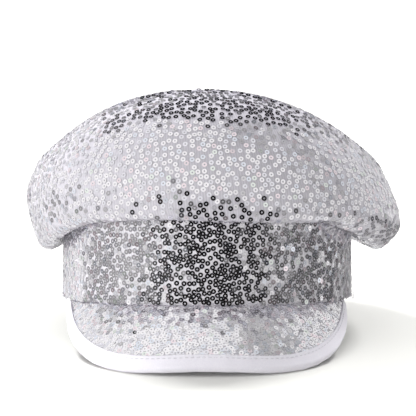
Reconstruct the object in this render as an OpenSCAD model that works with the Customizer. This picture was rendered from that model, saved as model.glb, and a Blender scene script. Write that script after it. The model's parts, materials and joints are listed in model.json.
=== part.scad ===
// Sequinned captain's party hat: a full, soft crown over a stiffened band, with a
// bound visor at the front.  Everything is drawn in the hat's own frame, with the
// band's lower edge at z = 0, the front at -Y and the wearer's left at +X.  The
// standing() module then tips the hat back on to its visor and the band's back edge,
// the way it rests on a table.

/* [Head opening] */
// Width of the opening, side to side, inside the sweatband
head_w = 168; // [140:1:205]
// Length of the opening, front to back, inside the sweatband
head_l = 200; // [165:1:240]

/* [Band] */
// Height of the hatband
band_h = 52; // [43:0.1:64]
// How far each side of the band spreads from its top to its foot
band_flare = 0.8; // [0:0.1:2]
// Thickness of the sequinned hatband
hatband_t = 1; // [0.8:0.1:2]
// Thickness of the stiffener strip inside the band
stiffener_t = 0.9; // [0.5:0.1:1.5]
// Height of the sweatband
sweatband_h = 32; // [20:1:36]
// Thickness of the sweatband
sweatband_t = 0.9; // [0.6:0.1:1.5]

/* [Crown] */
// Height of the crown's top above the band's lower edge
crown_h = 127.5; // [106:0.5:154]
// How far the crown stands out past the band at each side
overhang_side = 26.4; // [16:0.1:36]
// How far the crown stands out past the band at the front
overhang_front = 11; // [6:1:18]
// How far the crown stands out past the band at the back
overhang_back = 18; // [12:1:28]
// How far the crown hangs down past the band's top edge at the sides
side_droop = 26; // [10:1:32]
// Thickness of the crown's sequinned fabric
fabric_t = 1; // [0.6:0.1:1.5]
// Thickness of the foam inside the crown
foam_t = 2.5; // [1.5:0.1:3.5]
// Thickness of the crown's lining
lining_t = 0.5; // [0.3:0.1:0.8]
// Depth of the seam allowances turned inside the crown
seam_depth = 5; // [4.5:0.5:6]

/* [Visor] */
// How far inside the band's sides the visor's ends stop
visor_inset = 5.7; // [4:0.1:16]
// How far the visor's front edge stands ahead of the band
visor_reach = 28; // [22:1:40]
// How far the visor's front edge drops below the band
visor_drop = 32.5; // [24:0.5:42]
// How much lower the visor's edge is at its corners than at its middle
visor_arch = 3; // [0:0.1:4]
// Thickness of the visor board
board_t = 1.6; // [1:0.1:2.5]
// Thickness of the visor's sequinned cover
cover_t = 0.6; // [0.4:0.1:1]
// Thickness of the cloth under the visor
underside_t = 0.5; // [0.3:0.1:0.8]
// Width of the binding on each face of the visor
binding_w = 7; // [5:0.5:11]
// Thickness of the binding
binding_t = 0.7; // [0.4:0.1:1]

/* [Stitching and labels] */
// Pitch of the stitches in every row
stitch_pitch = 3.2; // [2.5:0.1:5]
// Thickness of the sewing thread
thread_d = 0.5; // [0.3:0.1:0.7]
// Height of the stitch row above the hatband's lower edge
hatband_row_z = 7; // [5:0.5:9]
// Width of the care label
care_w = 16; // [10:1:22]
// Length of the care label
care_l = 22; // [14:1:26]
// Width of the size label
size_w = 11; // [8:1:16]
// Length of the size label
size_l = 9; // [7:1:14]

/* [Hidden] */

// ---- Layers of the band, as distances outward from the head oval ----
lay = 0.1;                                  // air between neighbouring layers
tongue_gap = 0.25;                          // air on each side of the visor's tongue, past its facets' sag
lining_in = sweatband_t + lay;
lining_out = lining_in + lining_t;
stiffener_in = lining_out + lay;
stiffener_out = stiffener_in + stiffener_t;
tape_t = 0.3;
tongue_in = stiffener_out + tongue_gap;     // the visor cover's turned-up seam allowance
tongue_out = tongue_in + cover_t;
hatband_in = tongue_out + tongue_gap;
hatband_out = hatband_in + hatband_t;
tongue_h = 9;                               // how far that allowance stands up inside the hatband
edge_gap = 0.3;                             // between the band's lower edge and the visor
back_gap = 0.3;                             // between the hatband's two ends at the back seam

// ---- Fineness of the lofted shells ----
tiny = 0.1;                                 // length of the short step at a fold
probe = 0.01;                               // half the step in a share over which a slope is read
col_step = 6;                               // degrees between columns round the hat
lobe_rows = 7;                              // rows from the band to the widest ring
dome_rows = 7;                              // rows from the widest ring to the rim seam
tip_rows = 6;                               // rows from the rim seam to the top

// ---- The crown's shape ----
junction_out = 0.5;                         // its lower edge stands this far outside the hatband
crown_w = head_w + 2*hatband_out + 2*overhang_side;
crown_front_y = head_l/2 + hatband_out + overhang_front;
crown_back_y = head_l/2 + hatband_out + overhang_back;
peak_y = -15;                               // the highest point lies ahead of the centre
widest_z_side = band_h + 2;
widest_z_front = band_h + 2;
widest_z_back = band_h + 6;
round_side = 1.9;                           // the dome's profile: 2 is round, more is boxier
round_front = 3.2;
round_back = 2.2;
front_lean = 0.12;                          // how far the front wall leans back to its rounded rim
lean_start = 1.4;                           // the higher, the nearer the lean keeps to the rim
rim_side = 0.93;                            // rim seam, as a share of the way out from the peak
rim_front = 0.5;
rim_back = 0.9;
droop_front = 4;
droop_back = 12;
droop_spread = 5;                           // the higher, the nearer the droop keeps to the sides
droop_pull = 1.22;                          // the lobe's handles hang this much below its droop
lobe_out = 2.5;                             // how far the lobe starts straight out from the band
lobe_fall = 11;                             // the least handle below the widest ring

// ---- The visor's shape ----
visor_w = head_w + 2*hatband_out - 2*visor_inset;
visor_end_in = 2;                           // how far the seam's ends lie inside the visor's ends
visor_end_angle = asin((visor_w/2 - visor_end_in)/(head_w/2 + tongue_out)); // from the front
visor_end_back = 0.7;                       // how far the edge's ends lie behind the seam's ends
visor_end_y = -(head_l/2 + tongue_out)*cos(visor_end_angle) + visor_end_back;
visor_end_turn = 88.5;                      // last turn of the edge curve before it closes up
visor_squareness = 3.2;                     // seen from the front, 2 is round
visor_plan_squareness = 2.45;               // seen from above
visor_bulge = 1.5;                          // the most its face rises between seam and edge
visor_bulge_share = 0.03;                   // and the most as a share of the way across it
visor_root_bend = 0.25;                     // crowds the layers' columns toward the seam's ends
visor_lay = 0.2;                            // air between the visor's layers
visor_cols = 36;
pack_t = cover_t + board_t + underside_t + 2*visor_lay;

degrees_in_radian = 180/PI;
function unit(v) = v/norm(v);
function flare(z) = band_flare*(1 - max(z, 0)/band_h);
function oval(t, d, z) = [(head_w/2 + d + flare(z))*cos(t), (head_l/2 + d + flare(z))*sin(t), z];
function by_side(t, side, back, front) = side*cos(t)^2 + (sin(t) > 0 ? back : front)*sin(t)^2;
function closing(x, n) = max(0, 1 - abs(x)^n)^(1/n);
function steps(a, b, n) = [for (i = [0:n]) a + (b - a)*i/n];
function bezier(a, b, c, d, u) = a*(1 - u)^3 + 3*b*u*(1 - u)^2 + 3*c*u^2*(1 - u) + d*u^3;

// ---- The crown's outer surface ----
// v runs from 0 at the band, through 1 at the widest ring, to 2 at the peak.
function peak() = [0, peak_y, crown_h];
function widest(t) = [
    crown_w/2*cos(t),
    (sin(t) > 0 ? crown_back_y : crown_front_y)*sin(t),
    by_side(t, widest_z_side, widest_z_back, widest_z_front)
];
function junction(t) = oval(t, hatband_out + junction_out, band_h) + [0, 0, edge_gap];
function droop(t) =
    let (ends = sin(t) > 0 ? droop_back : droop_front)
    ends + (side_droop - ends)*abs(cos(t))^droop_spread;
function roundness(t) = by_side(t, round_side, round_back, round_front);
function lobe(t, u) =
    let (
        j = junction(t),
        w = widest(t),
        hang = droop(t)*droop_pull,
        out = unit([w.x - j.x, w.y - j.y, 0])
    )
    bezier(j, j + lobe_out*out - [0, 0, hang], w - [0, 0, max(lobe_fall, w.z - j.z + hang)], w, u);
function dome(t, v) =
    let (
        w = widest(t),
        p = peak(),
        n = roundness(t),
        level = cos(90*(v - 1)),
        rise = closing(level, n),
        share = level*(1 - by_side(t, 0, 0, front_lean)*rise^lean_start)
    )
    [p.x + (w.x - p.x)*share, p.y + (w.y - p.y)*share, w.z + (p.z - w.z)*rise];
function crown(t, v) = v < 1 ? lobe(t, v) : dome(t, v);
last_v = 1.999;                             // just short of the peak, where the columns meet
function crown_normal(t, v) =
    let (
        lo = max(v - 2*probe, 0),
        hi = min(v + 2*probe, last_v),
        across = crown(t + 1, v) - crown(t - 1, v),
        up = crown(t, hi) - crown(t, lo)
    )
    unit(cross(across, up));
function crown_in(t, v, depth) = crown(t, v) - depth*crown_normal(t, v);
function rim_v(t) = 1 + acos(by_side(t, rim_side, rim_back, rim_front))/90;
// The step in v that moves a point along the surface by the length s at row v
function v_step(t, v, s) = s*2*probe/norm(crown(t, v + probe) - crown(t, v - probe));

// ---- Shells ----
// A section is a loop of 2m points, m along one face and m back along the other.
// The sections follow each other counter-clockwise round the hat, and each runs
// down its outer face and up its inner one.
module shell(sections, closed = false) {
    rows = len(sections);
    n = len(sections[0]);
    last = closed ? rows - 1 : rows - 2;
    walls = [
        for (i = [0:last], j = [0:n - 1])
            let (
                i2 = (i + 1) % rows,
                j2 = (j + 1) % n,
                a = i*n + j,
                b = i*n + j2,
                c = i2*n + j2,
                d = i2*n + j
            )
            each [[a, c, b], [a, d, c]]
    ];
    first_cap = [
        for (j = [0:n/2 - 2])
            each [[j, j + 1, n - 2 - j], [j, n - 2 - j, n - 1 - j]]
    ];
    end = (rows - 1)*n;
    last_cap = [
        for (f = first_cap)
            [f[2] + end, f[1] + end, f[0] + end]
    ];
    polyhedron(
        points = [for (s = sections) each s],
        faces = closed ? walls : concat(walls, first_cap, last_cap),
        convexity = 8
    );
}

// Rings stacked from the underside's middle, out to the rim and back over the top,
// closed at both ends by a fan on a middle point.
module disc_shell(rings, low_middle, high_middle) {
    rows = len(rings);
    n = len(rings[0]);
    low = rows*n;
    high = low + 1;
    walls = [
        for (i = [0:rows - 2], j = [0:n - 1])
            let (
                j2 = (j + 1) % n,
                a = i*n + j,
                b = i*n + j2,
                c = (i + 1)*n + j2,
                d = (i + 1)*n + j
            )
            each [[a, c, b], [a, d, c]]
    ];
    fans = [
        for (j = [0:n - 1])
            let (j2 = (j + 1) % n, top = (rows - 1)*n)
            each [[low, j, j2], [high, top + j2, top + j]]
    ];
    polyhedron(
        points = concat([for (r = rings) each r], [low_middle, high_middle]),
        faces = concat(walls, fans),
        convexity = 8
    );
}

function reversed(list) = [for (i = [len(list) - 1:-1:0]) list[i]];
function ring_angles() = [for (t = [0:col_step:359]) t];

// ---- Crown panels ----
// Where a panel's edge is turned in, the last rows and columns are seam_depth deep.
function side_section(t, depth) =
    let (
        rim = rim_v(t) - v_step(t, rim_v(t), lay),
        fold = rim - v_step(t, rim, fabric_t),
        body_rows = concat(
            steps(0, 1, lobe_rows),
            [for (v = steps(1, fold - v_step(t, fold, tiny), dome_rows)) if (v > 1) v]
        ),
        j = junction(t),
        flange = oval(t, stiffener_in, band_h) + [0, 0, edge_gap],
        up = [0, 0, 1],
        back = -crown_normal(t, probe),
        corner = j + depth*(up + back)/(1 + up*back),
        outer = concat([flange, j], [for (v = body_rows) if (v > 0) crown(t, v)], [crown(t, fold), crown(t, rim)]),
        inner = concat(
            [flange + depth*up, corner],
            [for (v = body_rows) if (v > 0) crown_in(t, v, depth)],
            [crown_in(t, fold, seam_depth), crown_in(t, rim, seam_depth)]
        )
    )
    concat(reversed(outer), inner);

// Angles and depths of a side panel's columns, from one side seam to the other
seam_gap = 0.05;                            // degrees between each panel and the seam
function side_columns(from, to) =
    let (
        fold = degrees_in_radian*fabric_t/(crown_w/2),
        start = from + seam_gap + fold,
        end = to - seam_gap - fold
    )
    concat(
        [[from + seam_gap, seam_depth], [start, seam_depth]],
        [for (t = steps(start + tiny, end - tiny, (to - from)/col_step)) [t, fabric_t]],
        [[end, seam_depth], [to - seam_gap, seam_depth]]
    );

module side_panel(from, to) {
    shell([for (c = side_columns(from, to)) side_section(c[0], c[1])]);
}

module crown_front() {
    color("gainsboro") side_panel(-180, 0);
}

module crown_back() {
    color("lightgray") side_panel(0, 180);
}

// One ring of the tip panel at share k of the way from the rim seam to the last ring
last_ring_v = 1.97;
function tip_ring(k, depth, inset = 0) = [
    for (t = ring_angles())
        let (
            rim = rim_v(t) + v_step(t, rim_v(t), lay + inset),
            v = rim + (last_ring_v - rim)*k
        )
        crown_in(t, v, depth)
];

module crown_tip() {
    body = steps(0, 1, tip_rows);
    turned = fabric_t + tiny;
    color("whitesmoke")
        disc_shell(
            concat(
                [for (k = reversed(body)) tip_ring(k, fabric_t, turned)],
                [tip_ring(0, seam_depth, fabric_t), tip_ring(0, seam_depth), tip_ring(0, 0)],
                [for (k = body) tip_ring(k, 0, turned)]
            ),
            peak() - [0, 0, fabric_t],
            peak()
        );
}

// ---- Foam inside the crown ----
foam_gap = 0.6;                             // behind the fabric, more than the facets' own sag
foam_top = fabric_t + foam_gap;
foam_bottom = foam_top + foam_t;
foam_start = 0.85;                          // the foam stops just short of the drooping lobe
foam_side_gap = 1.6;                        // degrees from the side seams
foam_rim_gap = fabric_t + 1;

function foam_section(t) =
    let (
        rim = rim_v(t),
        rows = steps(foam_start, rim - v_step(t, rim, foam_rim_gap), dome_rows)
    )
    concat(
        [for (v = reversed(rows)) crown_in(t, v, foam_top)],
        [for (v = rows) crown_in(t, v, foam_bottom)]
    );

module side_foam(from, to) {
    shell([
        for (t = steps(from + foam_side_gap, to - foam_side_gap, (to - from)/col_step))
            foam_section(t)
    ]);
}

module front_foam() {
    color("khaki") side_foam(-180, 0);
}

module back_foam() {
    color("khaki") side_foam(0, 180);
}

module tip_foam() {
    rows = steps(0, 1, tip_rows);
    color("palegoldenrod")
        disc_shell(
            concat(
                [for (k = reversed(rows)) tip_ring(k, foam_bottom, foam_rim_gap)],
                [for (k = rows) tip_ring(k, foam_top, foam_rim_gap)]
            ),
            peak() - [0, 0, foam_bottom],
            peak() - [0, 0, foam_top]
        );
}

// ---- Lining: a bag of two pieces, hung from the band ----
lining_low = sweatband_h - 8;               // its hem is caught behind the sweatband
lining_top = crown_h - max(seam_depth, foam_bottom) - 1.5; // it hangs clear of the foam
lining_seam = 1.5;                          // row of the seam between its side and its tip
lining_seam_gap = 0.004;                    // and the gap there, in rows
lining_rows = 5;
lining_round = 2.4;                         // its dome's profile: 2 is round

function lining_dome(t, v, d) =
    let (
        w = oval(t, d, band_h),
        share = cos(90*(v - 1)),
        rise = closing(share, lining_round),
        top = lining_top - (lining_out - d)
    )
    [w.x*share, peak_y + (w.y - peak_y)*share, band_h + (top - band_h)*rise];

function lining_wall(t, d) = concat(
    [for (v = steps(lining_seam - lining_seam_gap, 1, lining_rows)) lining_dome(t, v, d)],
    [oval(t, d, lining_low)]
);

module side_lining() {
    color("white")
        shell(
            [
                for (t = ring_angles())
                    concat(lining_wall(t, lining_out), reversed(lining_wall(t, lining_in)))
            ],
            closed = true
        );
}

module tip_lining() {
    rows = steps(lining_seam, last_ring_v, lining_rows);
    color("white")
        disc_shell(
            concat(
                [for (v = reversed(rows)) [for (t = ring_angles()) lining_dome(t, v, lining_in)]],
                [for (v = rows) [for (t = ring_angles()) lining_dome(t, v, lining_out)]]
            ),
            [0, peak_y, lining_top - lining_t],
            [0, peak_y, lining_top]
        );
}

// ---- Band ----
function strip_section(t, inner, outer, low, high) = [
    oval(t, outer, high),
    oval(t, outer, low),
    oval(t, inner, low),
    oval(t, inner, high)
];

// An open strip bent round the oval, whose ends stop half a gap from the angle seam
module open_strip(inner, outer, low, high, seam, gap) {
    half = degrees_in_radian*gap/2/(head_w/2 + outer);
    shell([
        for (t = steps(seam + half, seam + 360 - half, 360/col_step))
            strip_section(t, inner, outer, low, high)
    ]);
}

module hatband() {
    color("silver") open_strip(hatband_in, hatband_out, 0, band_h, 90, back_gap);
}

stiffener_gap = 1;                          // between the stiffener's ends at the back
module band_stiffener() {
    color("lightsteelblue")
        open_strip(stiffener_in, stiffener_out, 0, band_h, 90, stiffener_gap);
}

// The cloth tape that joins the stiffener's ends, on its outer face above the tongue
tape_w = 14;
tape_foot = 3;                              // above the tongue
tape_head = 4;                              // below the band's top
module stiffener_tape() {
    half = degrees_in_radian*tape_w/2/(head_w/2 + tongue_in);
    color("beige")
        shell([
            for (t = steps(90 - half, 90 + half, 4))
                strip_section(t, tongue_in, tongue_in + tape_t, tongue_h + tape_foot, band_h - tape_head)
        ]);
}

sweatband_foot = 0.4;                       // its lower edge, just inside the hatband's
module sweatband() {
    color("white") open_strip(0, sweatband_t, sweatband_foot, sweatband_h, 90, back_gap);
}

// ---- Visor ----
// turn runs from -visor_end_turn at the wearer's right end to +visor_end_turn at the left.
function root_angle(turn) =
    let (s = turn/visor_end_turn)
    visor_end_angle*((1 - visor_root_bend)*s + visor_root_bend*s^3) - 90;
function visor_root(turn) = oval(root_angle(turn), tongue_out, -edge_gap);
function visor_edge(turn) =
    let (
        x = sin(turn),
        front_y = -(head_l/2 + hatband_out + visor_reach)
    )
    [
        visor_w/2*x,
        visor_end_y + (front_y - visor_end_y)*closing(x, visor_plan_squareness),
        -visor_drop*closing(x, visor_squareness) - visor_arch*sin(2*turn)^2
    ];
function visor_top(turn, w) =
    let (a = visor_root(turn), b = visor_edge(turn), out = unit([b.x, b.y, 0]))
    a*(1 - w) + b*w
        + 4*w*(1 - w)*min(visor_bulge, norm(b - a)*visor_bulge_share)*unit(out + [0, 0, 1]);
function visor_normal(turn, w) =
    let (
        lo = max(turn - 1, -visor_end_turn),
        hi = min(turn + 1, visor_end_turn)
    )
    unit(cross(
        visor_top(turn, w + probe) - visor_top(turn, w - probe),
        visor_top(hi, w) - visor_top(lo, w)
    ));
function visor_at(turn, w, depth) = visor_top(turn, w) - depth*visor_normal(turn, w);
function visor_length(turn) = norm(visor_edge(turn) - visor_root(turn));
function visor_turns() = steps(-visor_end_turn, visor_end_turn, visor_cols);

visor_rows = 5;
function visor_shares(first) = concat([first], [for (w = steps(0, 1, visor_rows)) if (w > 0) w]);
// A layer of the visor between two depths, from the share first of the way out
function visor_layer(turn, first, upper, lower) =
    let (shares = visor_shares(first))
    concat(
        [for (w = shares) visor_at(turn, w, upper)],
        [for (w = reversed(shares)) visor_at(turn, w, lower)]
    );

// The cover's inner edge turns up as a tongue between the stiffener and the hatband.
function cover_section(turn) =
    let (
        root = visor_root(turn),
        angle = root_angle(turn),
        inward = -unit([cos(angle)/head_w, sin(angle)/head_l, 0]),
        down = -visor_normal(turn, probe),
        corner = root + cover_t*(inward + down)/(1 + inward*down),
        shares = visor_shares(0)
    )
    concat(
        [oval(angle, tongue_out, tongue_h)],
        [for (w = shares) visor_at(turn, w, 0)],
        [for (w = reversed(shares)) w > 0 ? visor_at(turn, w, cover_t) : corner],
        [oval(angle, tongue_in, tongue_h)]
    );

module visor_cover() {
    color("gainsboro") shell([for (turn = visor_turns()) cover_section(turn)]);
}

module visor_board() {
    top = cover_t + visor_lay;
    color("dimgray")
        shell([
            for (turn = visor_turns())
                visor_layer(turn, visor_lay/visor_length(turn), top, top + board_t)
        ]);
}

module visor_underside() {
    color("white")
        shell([
            for (turn = visor_turns())
                visor_layer(turn, 0, pack_t - underside_t, pack_t)
        ]);
}

// The binding folds round the visor's edge: a leg on each face and a round nose.
binding_in = pack_t/2 + visor_lay;
binding_out = binding_in + binding_t;
binding_share = 0.8;                        // and the most of the way across the visor it covers
function binding_leg(turn) = min(binding_w, binding_share*visor_length(turn));
function binding_chain(turn, r) =
    let (
        leg = binding_leg(turn)/visor_length(turn),
        middle = visor_at(turn, 1, pack_t/2),
        n = visor_normal(turn, 1),
        out = unit(visor_at(turn, 1, 0) - visor_at(turn, 1 - 2*probe, 0))
    )
    concat(
        [for (w = steps(1 - leg, 1, 2)) visor_at(turn, w, pack_t/2 - r)],
        [for (a = [60, 30, 0, -30, -60]) middle + r*(cos(a)*out + sin(a)*n)],
        [for (w = steps(1, 1 - leg, 2)) visor_at(turn, w, pack_t/2 + r)]
    );

module visor_binding() {
    color("white")
        shell([
            for (turn = visor_turns())
                concat(binding_chain(turn, binding_out), reversed(binding_chain(turn, binding_in)))
        ]);
}

// ---- Stitches ----
// A straight stitch from a to b, short of both by the thread's own thickness
module stitch(a, b) {
    along = b - a;
    length = norm(along);
    turn_y = acos(along.z/length);
    turn_z = atan2(along.y, along.x);
    translate(a)
        rotate([0, turn_y, turn_z])
            translate([0, 0, thread_d/2])
                cylinder(d = thread_d, h = length - thread_d, $fn = 16);
}

// A row of stitches along the points, one between each pair of neighbours
module stitch_row(points) {
    for (i = [0:len(points) - 2])
        stitch(points[i], points[i + 1]);
}

// Points spread evenly along a path of many points: one each time another pitch is covered
function path_lengths(path, i = 0, sum = 0) =
    i >= len(path) ? [] :
    let (total = i == 0 ? 0 : sum + norm(path[i] - path[i - 1]))
    concat([total], path_lengths(path, i + 1, total));
function at_length(path, sums, s) =
    let (i = min(len(path) - 2, max([for (k = [0:len(path) - 2]) if (sums[k] <= s) k])))
    path[i] + (path[i + 1] - path[i])*(s - sums[i])/(sums[i + 1] - sums[i]);
function evenly(path, pitch) =
    let (sums = path_lengths(path), total = sums[len(path) - 1], n = round(total/pitch))
    [for (i = [0:n]) at_length(path, sums, min(total - probe, i*total/n))];

thread_lift = thread_d/2 + 0.02;            // the thread's middle, just clear of the cloth
binding_row_in = 2;                         // from the binding's inner edge
binding_row_end = 4;                        // turns short of the visor's ends

module binding_stitches() {
    path = [
        for (turn = steps(binding_row_end - visor_end_turn, visor_end_turn - binding_row_end, 120))
            let (w = 1 - (binding_leg(turn) - binding_row_in)/visor_length(turn))
            visor_at(turn, w, pack_t/2 - binding_out - thread_lift)
    ];
    color("lightgray") stitch_row(evenly(path, stitch_pitch));
}

module hatband_stitches() {
    path = [for (t = [90:2:450]) oval(t, hatband_out + thread_lift, hatband_row_z)];
    color("gray") stitch_row(evenly(path, stitch_pitch));
}

sweatband_row_z = 3;
inside_lift = thread_d/2 + 0.2;             // clear of the facets, which cut inside the oval
module sweatband_stitches() {
    path = [for (t = [90:2:450]) oval(t, -inside_lift, sweatband_row_z)];
    color("lightgray") stitch_row(evenly(path, stitch_pitch));
}

// ---- Labels, plain, hung inside the sweatband's back ----
label_t = 0.3;
label_gap = 0.3;
label_top = sweatband_h - 1;
care_angle = 78;                            // beside the back seam, toward the wearer's left
size_angle = 103;                           // and toward the right
module label(angle, width, length) {
    at = oval(angle, -label_gap, label_top);
    face = atan2(sin(angle)/head_l, cos(angle)/head_w);
    translate(at)
        rotate(face)
            translate([-label_t - width^2/8/(head_w/2), -width/2, -length])
                cube([label_t, width, length]);
}

module care_label() {
    color("white") label(care_angle, care_w, care_l);
}

module size_label() {
    color("ivory") label(size_angle, size_w, size_l);
}

// ---- Standing on a table ----
// The hat tips back about the foot of the hatband's back edge until the lowest point
// of the visor's binding touches the table.
back_foot = head_l/2 + hatband_out + band_flare;
low_points = [for (turn = visor_turns()) each binding_chain(turn, binding_out)];
rest_tilt = max([for (p = low_points) atan2(-p.z, back_foot - p.y)]);
function tipped_y(p) = p.y*cos(rest_tilt) + p.z*sin(rest_tilt);
front_reach = min([for (p = low_points) tipped_y(p)]);
back_reach = max([for (v = steps(0.3, 1.5, 24)) tipped_y(crown(90, v))]);

module standing() {
    translate([0, -(front_reach + back_reach)/2, back_foot*sin(rest_tilt)])
        rotate([-rest_tilt, 0, 0])
            children();
}

standing() crown_tip();
standing() crown_front();
standing() crown_back();
standing() tip_foam();
standing() front_foam();
standing() back_foam();
standing() tip_lining();
standing() side_lining();
standing() hatband();
standing() band_stiffener();
standing() stiffener_tape();
standing() sweatband();
standing() visor_cover();
standing() visor_board();
standing() visor_underside();
standing() visor_binding();
standing() binding_stitches();
standing() hatband_stitches();
standing() sweatband_stitches();
standing() care_label();
standing() size_label();
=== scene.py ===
import json
import math

import bpy
import numpy as np
from mathutils import Matrix, Vector


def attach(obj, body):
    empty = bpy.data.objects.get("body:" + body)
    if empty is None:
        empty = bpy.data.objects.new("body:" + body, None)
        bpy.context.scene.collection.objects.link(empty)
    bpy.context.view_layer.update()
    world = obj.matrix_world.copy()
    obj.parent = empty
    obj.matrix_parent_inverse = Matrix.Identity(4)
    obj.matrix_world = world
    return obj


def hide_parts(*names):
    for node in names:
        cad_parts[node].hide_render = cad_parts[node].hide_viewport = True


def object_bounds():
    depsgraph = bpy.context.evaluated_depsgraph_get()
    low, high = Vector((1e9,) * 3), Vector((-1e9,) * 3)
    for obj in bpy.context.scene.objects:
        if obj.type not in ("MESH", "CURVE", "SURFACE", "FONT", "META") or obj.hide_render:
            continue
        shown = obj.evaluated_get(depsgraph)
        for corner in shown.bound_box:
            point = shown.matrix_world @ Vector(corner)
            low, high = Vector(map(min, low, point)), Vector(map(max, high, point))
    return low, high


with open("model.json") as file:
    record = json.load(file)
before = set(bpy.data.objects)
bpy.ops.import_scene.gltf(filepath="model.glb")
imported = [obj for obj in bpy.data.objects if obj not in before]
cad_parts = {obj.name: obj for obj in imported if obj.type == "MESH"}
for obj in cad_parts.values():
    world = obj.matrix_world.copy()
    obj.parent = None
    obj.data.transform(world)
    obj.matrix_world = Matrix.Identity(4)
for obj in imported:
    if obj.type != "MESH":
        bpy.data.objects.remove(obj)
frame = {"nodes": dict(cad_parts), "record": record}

cad_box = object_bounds()
MM = 0.001

# ---- How the cap stands ----
# The cap rests tipped back, on its visor and on the back of its band.  The opening for
# the head gives the tip: its point is the middle of the band's foot, and its axis looks
# down out of the cap.
opening = next(m for m in frame["record"]["mounts"] if m["name"] == "head_opening")
cap_up = -Vector(opening["axis"])
cap_left = Vector((1, 0, 0))
cap_back = cap_up.cross(cap_left)
upright = Matrix((cap_left, cap_back, cap_up)).transposed()
standing = Matrix.Translation(opening["pos_m"]) @ upright.to_4x4()


def stand(point):
    """A point of the upright cap, in millimetres, as a place in the tipped cap, in metres."""
    return standing @ (Vector(point) * MM)


# ---- The view ----
# A long lens, 1.2 m away and level with the top of the band, looks straight at the visor.
view_distance = 1200
view_side = 0.6
view_level = 55
view_width = 258.8                      # what it takes in, side to side, at the cap's middle
bpy.ops.object.camera_add(location=stand((view_side, -view_distance, view_level)))
camera = bpy.context.object
camera.rotation_euler = Matrix((cap_left, cap_up, -cap_back)).transposed().to_euler()
camera.data.lens = camera.data.sensor_width * view_distance / view_width
bpy.context.scene.camera = camera

# ---- Crown cloth ----
# Pale silver-grey knit, cut as a front and a back panel that meet at the sides and a
# round tip.  The sides hang in soft lobes over the band.  Each panel is sewn in at its
# edges, and is slack enough to pucker between them.
half_head = (84, 100)
band_h = 52
band_flare = 0.8
hatband_out = 4.6
peak = Vector((0, -15, 127.5))
crown_half_side = 115
crown_front = half_head[1] + hatband_out + 11
crown_back = half_head[1] + hatband_out + 18
lean_level = 94                         # the crown leans to the wearer's left below this
lean_slope = 0.1
settle_side = 0.045                     # and hangs lower there
front_lean = 0.12                       # the front wall leans back to a rounded rim
widest_front = 2                        # the widest ring's height over the band
widest_back = 6
droop_front = 4                         # how deep the cloth hangs over the band
droop_back = 12
droop_side = 26
droop_pull = 1.22
lobe_out = 2.5
lobe_fall = 11
corner_lift = 2.4                       # the lobes' lower corners are drawn up
corner_lift_left = 1.6                  # more at the wearer's left than at the right
rim_share = (0.93, 0.9, 0.5)            # how far out the rim seam lies: side, back, front
cloth_t = 1.0


def smooth(value, low, high):
    """0 up to low, 1 from high on, and a smooth rise between."""
    share = min(1, max(0, (value - low) / (high - low)))
    return share * share * (3 - 2 * share)


def oval(turn, out, z=0.0):
    """A point out from the head oval, turn degrees round from the wearer's left."""
    a = math.radians(turn)
    spread = out + band_flare * (1 - max(z, 0) / band_h)
    return Vector(((half_head[0] + spread) * math.cos(a), (half_head[1] + spread) * math.sin(a), z))


def by_side(turn, side, back, front):
    """One value at the sides, another at the back or the front, and a blend between."""
    a = math.radians(turn)
    end = back if math.sin(a) > 0 else front
    return side * math.cos(a) ** 2 + end * math.sin(a) ** 2


def crown_widest(turn):
    a = math.radians(turn)
    reach = crown_back if math.sin(a) > 0 else crown_front
    z = by_side(turn, band_h + widest_front, band_h + widest_back, band_h + widest_front)
    return Vector((crown_half_side * math.cos(a), reach * math.sin(a), z))


def crown_point(turn, v):
    """The crown's outer face: v is 0 at the band, 1 at the widest ring and 2 at the peak."""
    a = math.radians(turn)
    w = crown_widest(turn)
    if v < 1:
        j = oval(turn, hatband_out + 0.5, band_h) + Vector((0, 0, 0.3))
        end = droop_back if math.sin(a) > 0 else droop_front
        hang = droop_pull * (end + (droop_side - end) * abs(math.cos(a)) ** 5)
        out = Vector((w.x - j.x, w.y - j.y, 0)).normalized()
        c1 = j + lobe_out * out - Vector((0, 0, hang))
        c2 = w - Vector((0, 0, max(lobe_fall, w.z - j.z + hang)))
        p = j * (1 - v) ** 3 + 3 * c1 * v * (1 - v) ** 2 + 3 * c2 * v * v * (1 - v) + w * v**3
    else:
        share = math.cos(math.pi / 2 * (v - 1))
        n = by_side(turn, 1.9, 2.2, 3.2)
        rise = max(0, 1 - share**n) ** (1 / n)
        share *= 1 - by_side(turn, 0, 0, front_lean) * rise**1.4
        p = Vector((w.x * share, peak.y + (w.y - peak.y) * share, w.z + (peak.z - w.z) * rise))
    free = smooth(v, 0, 0.6)
    over = smooth(v, 0.65, 1) * (1 - smooth(v, 1, 1.4))
    corner = smooth(v, 0.35, 0.7) * (1 - smooth(v, 0.8, 1)) * abs(math.cos(a)) ** 3
    p.z += corner * (corner_lift + corner_lift_left * math.cos(a)) - settle_side * p.x * over
    p.x += free * lean_slope * (lean_level - max(p.z, 40))
    return p


def rim_v(turn):
    return 1 + math.acos(by_side(turn, *rim_share)) * 2 / math.pi


def on_disc(u, w):
    """A square grid drawn out to a disc: the turn, and the share of the way to the rim."""
    a, b = 2 * u - 1, 2 * w - 1
    x, y = a * math.sqrt(1 - b * b / 2), b * math.sqrt(1 - a * a / 2)
    return math.degrees(math.atan2(y, x)), min(1, math.hypot(x, y))


def evenly(points, count):
    """count + 1 points evenly spaced along a line of many points."""
    steps = np.array([(b - a).length for a, b in zip(points, points[1:])])
    run = np.concatenate([[0], np.cumsum(steps)])
    wanted = np.linspace(0, run[-1], count + 1)
    xyz = np.array(points)
    return [Vector([np.interp(s, run, xyz[:, k]) for k in range(3)]) for s in wanted]


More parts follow.
